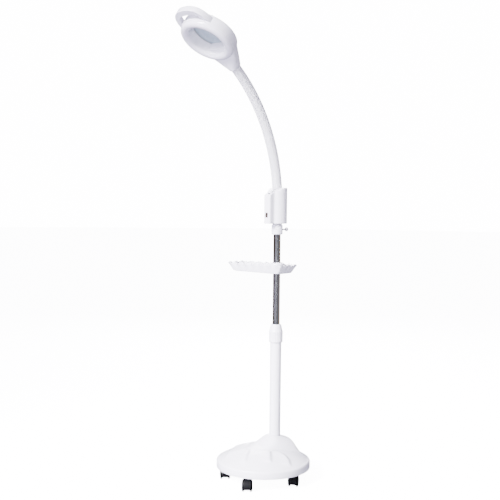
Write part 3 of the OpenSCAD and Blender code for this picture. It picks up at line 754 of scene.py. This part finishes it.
class LAMP_OT_housing(Piece, bpy.types.Operator):
    """Make the control housing with its collar, thumb screw and switches"""

    bl_idname = "lamp.housing"
    bl_label = "Housing"

    def make(self):
        white = FINISHES["gloss_white"]
        z0, z1 = low("housing_back")[2], high("housing_back")[2]
        slope = math.tan(HOUSING_SLOPE)

        def lid(x, y):
            return -smooth_max(-(974 + (y + 52) * slope), -np.full(x.shape, z1), 5.0)

        t = np.linspace(0, math.pi / 2, 7)
        for half, sign, node in (("front", -1, "housing_front"), ("back", 1, "housing_back")):
            angle = sign * np.linspace(0.004, math.pi - 0.004, 97)
            edge = housing_outline(angle)
            x, y = edge * np.cos(angle), edge * np.sin(angle)
            y = np.where(np.abs(y) < 0.12, sign * 0.12, y)
            rows = [np.stack([x * s, y * s, np.full(x.shape, z0)], -1) for s in (0.02, 0.5)]
            for a in t:
                inset = 1 - 2 * (1 - np.sin(a)) / edge
                rise = np.full(x.shape, z0 + 2 * (1 - np.cos(a)))
                rows.append(np.stack([x * inset, y * inset, rise], -1))
            wall_top = lid(x, y) - 4
            for s in np.linspace(0.05, 1, 12):
                rows.append(np.stack([x, y, z0 + 2 + (wall_top - z0 - 2) * s], -1))
            for a in t[1:]:
                inset = 1 - 4 * (1 - np.cos(a)) / edge
                px, py = x * inset, y * inset
                rows.append(np.stack([px, py, lid(px, py) - 4 * (1 - np.sin(a))], -1))
            for s in np.linspace(0.86, 0.02, 22):
                rows.append(np.stack([x * s, y * s, lid(x * s, y * s)], -1))
            shell = Surface()
            shell.grid(np.array(rows))
            shell.piece(f"housing_{half}_shell", "lamp", white, [node], 50)

        collar = Surface()
        c0 = low("lamp_collar")[2]
        rows = fillet([
            (12.6, c0, 0), (17.9, c0, 1.2), (18.9, c0 + 3, 0.8), (18.9, c0 + 31, 1.0), (17.6, c0 + 32, 0.5),
            (16.4, c0 + 32, 0), (16.4, c0 + 41, 0), (12.6, c0 + 41, 0)], 4)
        # painted shade: the neck above the shoulder gets depth 1, so its finish darkens it like the
        # shadowed gap under the housing
        collar.grid(turned(rows, 96), ring=True, value=step(c0 + 31, c0 + 32, rows[:, 1:]))
        collar.piece("lamp_collar_turned", "lamp", FINISHES["collar_white_neck_shade"],
                     ["lamp_collar"])

        axle = middle("thumb_screw")
        shank = Surface()
        start = low("thumb_screw")[1]
        thread = np.linspace(0, 32, 129)
        shape = np.stack([2.45 - 0.22 * (0.5 - 0.5 * np.cos(thread * 2 * math.pi)), thread], -1)
        shank.grid(placed(turned(shape, 32), (0, start, axle[2]), axes((0, 1, 0))))
        shank.piece("thumb_screw_threaded", "thumb", FINISHES["zinc"], ["thumb_screw"])
        knob = Surface()
        k0 = low("thumb_knob")[1]
        knob_rows = fillet([(0.01, 0, 0), (4.8, 0, 0.8), (7, 2.8, 1.2), (7, 7, 1.2), (5.2, 8.5, 1.5),
                            (0.01, 8.2, 0)], 4)

        def knurl(a, z):
            return 0.28 * (0.5 + 0.5 * np.cos(a * 18)) * step(1.5, 3, z) * (1 - step(6.5, 7.6, z))

        knob.grid(placed(turned(knob_rows, 144, knurl), (0, k0, axle[2]), axes((0, 1, 0))))
        knob.piece("thumb_knob_knurled", "thumb", FINISHES["knob_pale"], ["thumb_knob"])

        normal = np.array([0, -math.sin(HOUSING_SLOPE), math.cos(HOUSING_SLOPE)])
        seat = np.array([0, -33, 974 + 19 * slope])
        button = Surface()
        button.grid(placed(turned(fillet([(0.01, -4, 0), (9.7, -4, 0.5), (9.7, 2.2, 1.2), (8.6, 4.1, 2.0),
                                          (4.5, 6.2, 3.0), (0.01, 6.9, 0)], 6), 72), seat, axes(normal)))
        button.piece("push_button_domed", "button", white, ["push_button"])
        # painted shadow: a thin dark ring round the button's foot stands in for the shadow in the gap
        # between the button and the slope
        gap_shade = Surface()
        gap_shade_rows = fillet([(9.85, -1, 0), (11.4, -1, 0), (11.4, 0.5, 0.3), (9.85, 0.5, 0.3)], 3)
        gap_shade.grid(placed(turned(gap_shade_rows, 72), seat, axes(normal)), ring=True)
        gap_shade.piece("button_gap_shade", "lamp", FINISHES["gap_shade_dark"])

        rocker = middle("switch_bezel")
        bezel_low = low("switch_bezel")
        frame_rows = []
        for out, inset in ((0.0, 0.0), (2.6, 0.0), (2.9, 0.4), (2.9, 1.3), (2.4, 1.5), (0.0, 1.5)):
            bx, bz = rounded_box(5.8 - inset, 8.3 - inset, 1.6 - inset * 0.6, 96)
            frame_rows.append(np.stack([bx, np.full(96, bezel_low[1] + 2.9 - out), bz + rocker[2]], -1))
        bezel = Surface()
        bezel.grid(np.array(frame_rows), ring=True)
        # a dark plate that fills the opening, just proud of the housing's front
        well = []
        for y, inset in ((-51.0, 1.3), (-52.3, 1.3), (-52.4, 1.6)):
            bx, bz = rounded_box(5.8 - inset, 8.3 - inset, 0.6, 96)
            well.append(np.stack([bx, np.full(96, y), bz + rocker[2]], -1))
        bezel.grid(np.array(well))
        brown = FINISHES["rocker_brown"]
        bezel.piece("switch_bezel_rounded", "lamp", brown, ["switch_bezel"])
        # rocker: a rounded bar whose face is a shallow V, its upper half pressed in
        tilt = math.radians(-8)
        rows = []
        for depth, inset in ((8, 1.2), (0.9, 1.0), (0.25, 0.4), (0, 0.9), (0.05, 2.4)):
            rx, rz = rounded_box(4.2 - inset * 0.8, 6.4 - inset, 0.8, 96)
            rows.append(np.stack([rx, depth - 4.6 + 0.035 * rz ** 2, rz], -1))
        lever = Surface()
        pivot = np.array(joint("rocker_tilt")["pos_m"]) / MM
        lever.grid(placed(np.array(rows), pivot, np.array(Matrix.Rotation(tilt, 3, "X"))))
        lever.piece("rocker_switch_curved", "rocker", brown, ["rocker_switch"])


# ---------- gooseneck ----------

def arc_point(t):
    """Point of the gooseneck's arc: it leaves straight up and bends towards -Y."""
    t = np.asarray(t, float)
    return np.stack([0 * t, -ARC_R * (1 - np.cos(t)), ARC_FOOT_Z + ARC_R * np.sin(t)], -1)


class LAMP_OT_gooseneck(Piece, bpy.types.Operator):
    """Make the ribbed sleeve, one length about each pivot"""

    bl_idname = "lamp.gooseneck"
    bl_label = "Gooseneck"

    def make(self):
        pitch = sizes().rib_pitch / MM / ARC_R
        depth = sizes().rib_depth / MM
        segments = 72
        ring = np.linspace(0, 2 * math.pi, segments, endpoint=False)
        bodies = ["lamp"] + [f"neck_{k}" for k in range(1, 8)] + ["head"]
        first = math.asin((high("housing_back")[2] - 3 - ARC_FOOT_Z) / ARC_R)
        last = ARC_START + 7 * ARC_STEP + 24 / ARC_R
        cuts = [first] + [ARC_START + (k + 0.5) * ARC_STEP for k in range(7)] + [last]
        ribs = round((last - first) / pitch)
        pitch = (last - first) / ribs
        for k in range(8):
            a, b = cuts[k], cuts[k + 1]
            n0, n1 = (a - first) / pitch, (b - first) / pitch
            t = np.linspace(n0, n1, max(8, int((n1 - n0) * 9)))
            groove = (0.5 + 0.5 * np.cos(2 * math.pi * t)) ** 2.2
            t = first + t * pitch
            centre = arc_point(t)[:, None]
            r = (SLEEVE_RADIUS - depth * groove)[:, None, None]
            tangent_y, tangent_z = -np.sin(t)[:, None], np.cos(t)[:, None]
            offset = np.stack([np.repeat(np.cos(ring)[None], len(t), 0),
                               np.sin(ring)[None] * tangent_z, -np.sin(ring)[None] * tangent_y], -1)
            sleeve = Surface()
            # painted shade: the groove profile also goes into the depth attribute, so the sleeve's finish
            # darkens the bottoms of the grooves
            sleeve.grid(centre + r * offset, value=groove[:, None])
            pivot = PIVOTS[k]
            angle = ARC_START + k * ARC_STEP
            along = np.array([0, -math.sin(angle), math.cos(angle)])
            reach = (3.0, 24.0) if k == 0 else (24.0, 24.0)
            start = (pivot - along * reach[0]) * MM
            end = (pivot + along * reach[1]) * MM
            if k == 7:
                end = (pivot + along * 3.0) * MM
            node = "ferrule_lower" if k == 0 else f"link_{k}"
            sleeve.piece(f"gooseneck_sleeve_{k + 1}", (bodies[k], bodies[k + 1], tuple(start), tuple(end)),
                         FINISHES["sleeve_white_groove_shade"], [node], 60)


# ---------- head ----------

def head_axes():
    """The head's own frame: X across, Y towards the finger loop, Z out of the lit side."""
    lean = sizes().head_lean
    return np.column_stack([(1, 0, 0), (0, -math.sin(lean), math.cos(lean)),
                            (0, -math.cos(lean), -math.sin(lean))])


def head_origin():
    """Centre of the head's front plane."""
    return middle("lens") + LENS_DEPTH * head_axes()[:, 2]


def power_oval(a, half_x, half_y, power, mid):
    """Superellipse: x = half_x |cos a|^(2/p), y = mid + half_y |sin a|^(2/p), with their signs."""
    c, s = np.cos(a), np.sin(a)
    return (half_x * np.sign(c) * np.abs(c) ** (2 / power),
            mid + half_y * np.sign(s) * np.abs(s) ** (2 / power))


class LAMP_OT_head(Piece, bpy.types.Operator):
    """Make the ring head: cover with neck and finger loop, shroud, lens and its ring"""

    bl_idname = "lamp.head"
    bl_label = "Head"

    def make(self):
        origin, about = head_origin(), head_axes()

        def local(points):
            return placed(points, origin, about)

        cover = Surface()
        cover.grid(local(turned(fillet([
            (88.0, -3.1, 0), (90.5, -3.1, 0.8), (90.5, -38, 10), (60, -38, 1.6), (60, -35.95, 0.4),
            (63.2, -35.95, 0), (63.2, -28, 0.5), (65.7, -28, 0.5), (65.7, -35.5, 0), (88, -35.5, 8)],
            8), 160)), ring=True)
        # neck: a rounded slab that narrows and thickens into a round socket
        s = np.concatenate([[0], np.linspace(0.02, 0.985, 34), [0.995, 1.0]])[:, None]
        a = np.linspace(0, 2 * math.pi, 112, endpoint=False)[None]
        shrink = np.where(s > 0.99, np.where(s > 0.997, 0.93, 0.985), 1.0)
        shape = np.clip(s, 0, 1)
        half_w = (76 + (20.6 - 76) * shape ** 0.92) * shrink
        half_h = (16.2 + (20.5 - 16.2) * shape ** 1.6) * shrink
        mid_z = -19.2 + (-7.2 + 19.2) * shape ** 1.15
        power = 7.0 * (1 - shape) ** 1.2 + 2.0
        c, q = np.cos(a), np.sin(a)
        nx = half_w * np.sign(c) * np.abs(c) ** (2 / power)
        nz = half_h * np.sign(q) * np.abs(q) ** (2 / power)
        ny = (-46 + (-140.2 + 46) * s) + nz * math.tan(math.radians(8.9)) * s
        cover.grid(local(np.stack([nx, np.broadcast_to(ny, nx.shape), nz + mid_z], -1)))
        # finger loop: a bar between two ovals, with rounded edges
        a = np.linspace(math.radians(-4), math.radians(184), 120)
        ox, oy = power_oval(a, 68, 77, 2.5, 50)
        ix, iy = power_oval(a, 53, 56, 3.0, 50)
        outer, inner = np.stack([ox, oy], -1)[:, None], np.stack([ix, iy], -1)[:, None]
        span = np.linalg.norm(outer - inner, axis=-1, keepdims=True)
        round_off = np.array([(0.9, -7), (0, -8.2), (0, -12), (0, -22), (0, -25.8), (0.9, -27)])
        section = np.vstack([
            np.column_stack([round_off[:, 0], round_off[:, 1], np.zeros(6)]),
            np.column_stack([round_off[::-1, 0] * -1, round_off[::-1, 1], np.ones(6)])])
        across = section[None, :, 2:] * span + section[None, :, :1]
        flat = inner + (outer - inner) / span * across
        depth = np.broadcast_to(section[None, :, 1:2], (len(a), 12, 1))
        cover.grid(local(np.concatenate([flat, depth], -1)))
        cover.piece("head_cover_smooth", "head", FINISHES["gloss_white"],
                    ["head_cover"], 50)

        lip = np.linspace(0, math.pi, 25)
        crest = np.column_stack([75.5 + 14 * np.cos(lip), -1 + 12.5 * np.sin(lip)])
        hollow = np.column_stack([75.5 - 11.5 * np.cos(lip), -1 + 10 * np.sin(lip)])
        funnel_t = np.linspace(0, 1, 12)[1:]
        funnel = np.column_stack([61.5 - 1.3 * funnel_t, -1 - 28.4 * funnel_t])
        profile = np.vstack([
            [[89.7, -3.0], [89.7, -0.8], [89.3, -0.2], [88.9, 0.0]], crest[1:], funnel,
            [[60.6, -29.8], [61.8, -29.4]], hollow[:1] + [[0, -10]], hollow, [[86, -3.0]]])
        shroud = Surface()
        shroud.grid(local(turned(profile, 160)), ring=True)
        shroud.piece("shroud_glossy", "head", FINISHES["milky_shroud"], ["shroud"], 50)

        r = np.linspace(0.5, 63, 40)
        bulge = 4.5 - (443.25 - np.sqrt(443.25 ** 2 - r ** 2))
        face = np.column_stack([r, -LENS_DEPTH + 1.5 + bulge])
        rear = np.column_stack([r, -LENS_DEPTH - 1.5 - bulge])[::-1]
        lens = Surface()
        lens.grid(local(turned(np.vstack([face, rear]), 128)))
        lens.piece("lens_polished", "head", FINISHES["lens_glass"], ["lens"])
        ring = Surface()
        ring_rows = fillet([(60.5, -32.1, 0), (63.1, -32.1, 0), (63.1, -30.4, 0.3), (60.5, -30.4, 0.5)], 3)
        ring.grid(local(turned(ring_rows, 128)), ring=True)
        ring.piece("lens_ring_dark", "head", FINISHES["grey_moulding"], ["lens_ring"])


# ---------- stage ----------

def softbox(name, place, aim, size, power, colour=(1, 1, 1), spread=180):
    """A square area light that looks at a point. The spread is the width of its beam in degrees."""
    light = bpy.data.lights.new(name, "AREA")
    light.shape, light.size, light.energy, light.color = "SQUARE", size, power, colour
    light.spread = math.radians(spread)
    made = bpy.data.objects.new(name, light)
    made.location = place
    made.rotation_euler = (Vector(aim) - Vector(place)).to_track_quat("-Z", "Y").to_euler()
    made.visible_transmission = False
    bpy.context.scene.collection.objects.link(made)


def plain(name, colour, roughness, glow=0.0, body=1.0):
    """Matte paper that may glow. The body is how much of the colour it has when it is lit."""
    s = Shader(name)
    drift = s.noise(0.8, 2.0)
    return s.surface({
        "Base Color": s.blend(drift, rgba(colour, 0.995 * body), rgba(colour, body)),
        "Roughness": roughness, "Emission Color": rgba(colour), "Emission Strength": glow})


class LAMP_OT_stage(Piece, bpy.types.Operator):
    """Make the camera, the floor and the studio light"""

    bl_idname = "lamp.stage"
    bl_label = "Stage"

    def make(self):
        around, yaw = math.radians(44.31), math.radians(-1.715)
        spot = Vector((math.sin(around) * 3.07, -math.cos(around) * 3.07, 0.964))
        heading = around - yaw
        back = Vector((math.sin(heading), -math.cos(heading), 0))
        right = Vector((math.cos(heading), math.sin(heading), 0))
        pitch, roll = math.radians(3.31), math.radians(0.575)
        rear = back * math.cos(pitch) + Vector((0, 0, math.sin(pitch)))
        up = rear.cross(right)
        x = right * math.cos(roll) + up * math.sin(roll)
        y = up * math.cos(roll) - right * math.sin(roll)
        data = bpy.data.cameras.new("camera")
        data.lens, data.sensor_width = 64.8, 36.0
        camera = bpy.data.objects.new("camera", data)
        camera.matrix_world = Matrix.Translation(spot) @ Matrix((
            (x[0], y[0], rear[0]), (x[1], y[1], rear[1]), (x[2], y[2], rear[2]))).to_4x4()
        bpy.context.scene.collection.objects.link(camera)
        bpy.context.scene.camera = camera

        floor = bpy.data.meshes.new("floor")
        a = np.linspace(0, 2 * math.pi, 96, endpoint=False)
        ring = np.column_stack([26 * np.cos(a), 26 * np.sin(a), 0 * a])
        floor.from_pydata(ring.tolist(), [], [list(range(96))])
        floor.materials.append(plain("floor_pale", colours().floor, 0.9, 14.0))
        made = bpy.data.objects.new("floor", floor)
        made.visible_diffuse = made.visible_glossy = made.visible_transmission = False
        bpy.context.scene.collection.objects.link(made)
        # bright paper dome behind everything, which lights nothing
        turn = np.linspace(0.02, math.pi / 2 + 0.1, 24)
        paper = Surface()
        paper.grid(turned(np.column_stack([25500 * np.sin(turn), 25500 * np.cos(turn)]), 64))
        dome = bpy.data.meshes.new("paper")
        dome.from_pydata((np.vstack(paper.points) * MM).tolist(), [],
                         np.vstack(paper.quads).tolist() + np.vstack(paper.triangles).tolist())
        dome.materials.append(plain("paper_white", (1, 1, 1), 1.0, 15.0))
        made = bpy.data.objects.new("paper", dome)
        made.visible_diffuse = made.visible_glossy = made.visible_transmission = made.visible_shadow = False
        bpy.context.scene.collection.objects.link(made)

        softbox("key", (0.5, -4.2, 3.0), (0, -0.1, 0.25), 1.8, 125, (0.98, 0.96, 1.0), 38)
        softbox("rim", (-2.6, 2.2, 2.4), (0, 0, 1.0), 1.8, 250)
        softbox("bounce", (-1.0, -2.6, 0.15), (0, -0.3, 1.4), 1.4, 160, (0.8, 0.74, 1.0))
        softbox("front", (2.6, -2.7, 0.5), (0, 0, 0.45), 1.6, 34, (0.96, 0.94, 1.0), 60)
        # cards that only mirrors see, so that the plated tube has something to reflect: from the
        # camera's left to its right, each with its turn, its width and what it gives off
        for n, (turn, width, shade) in enumerate([
                (-84, 3.2, (0.15, 0.13, 0.11)), (-27, 2.6, (0.10, 0.08, 0.07)),
                (12, 0.95, (0.6, 0.62, 0.75)),
                (45, 2.05, (0.22, 0.22, 0.25)), (93, 3.1, (0.22, 0.215, 0.235)),
                (160, 4.4, (0.42, 0.35, 0.27))]):
            t = math.radians(turn)
            centre = Vector((math.sin(t) * 2.6, -math.cos(t) * 2.6, 0.9))
            side = Vector((math.cos(t), math.sin(t), 0)) * width / 2
            lift = Vector((0, 0, 1.6))
            card = bpy.data.meshes.new(f"card_{n}")
            foot, head = centre - lift, centre + lift
            card.from_pydata([foot - side, foot + side, head + side, head - side], [], [(0, 1, 2, 3)])
            card.materials.append(plain(f"card_{n}", [c / 1.3 for c in shade], 1.0, 1.3, 0.0))
            made = bpy.data.objects.new(f"card_{n}", card)
            made.visible_camera = made.visible_diffuse = made.visible_shadow = False
            made.visible_transmission = False
            bpy.context.scene.collection.objects.link(made)

        world = bpy.data.worlds.new("studio")
        world.use_nodes = True
        world.node_tree.nodes["Background"].inputs[0].default_value = (0.72, 0.68, 1.0, 1)
        world.node_tree.nodes["Background"].inputs[1].default_value = 0.8
        bpy.context.scene.world = world


class LAMP_PT_panel(bpy.types.Panel):
    """Lists the lamp's settings and its pieces"""

    bl_idname = "LAMP_PT_panel"
    bl_label = "Magnifying Lamp"
    bl_space_type = "VIEW_3D"
    bl_region_type = "UI"
    bl_category = "Lamp"

    def draw(self, context):
        for group in (context.scene.lamp_sizes, context.scene.lamp_colours):
            for key in group.bl_rna.properties.keys():
                if key not in ("rna_type", "name"):
                    self.layout.prop(group, key)
        for operator in STEPS:
            self.layout.operator(operator.bl_idname)


STEPS = [LAMP_OT_stage, LAMP_OT_finishes, LAMP_OT_foot, LAMP_OT_casters, LAMP_OT_column, LAMP_OT_tray,
         LAMP_OT_housing, LAMP_OT_gooseneck, LAMP_OT_head]
CLASSES = [LampSizes, LampColours, *STEPS, LAMP_PT_panel]


def register():
    for cls in CLASSES:
        bpy.utils.register_class(cls)
    bpy.types.Scene.lamp_sizes = bpy.props.PointerProperty(type=LampSizes)
    bpy.types.Scene.lamp_colours = bpy.props.PointerProperty(type=LampColours)


def unregister():
    del bpy.types.Scene.lamp_colours
    del bpy.types.Scene.lamp_sizes
    for cls in reversed(CLASSES):
        bpy.utils.unregister_class(cls)


def main():
    register()
    for operator in STEPS:
        group, name = operator.bl_idname.split(".")
        if getattr(getattr(bpy.ops, group), name)() != {"FINISHED"}:
            raise RuntimeError(operator.bl_idname)


if __name__ == "__main__":
    main()
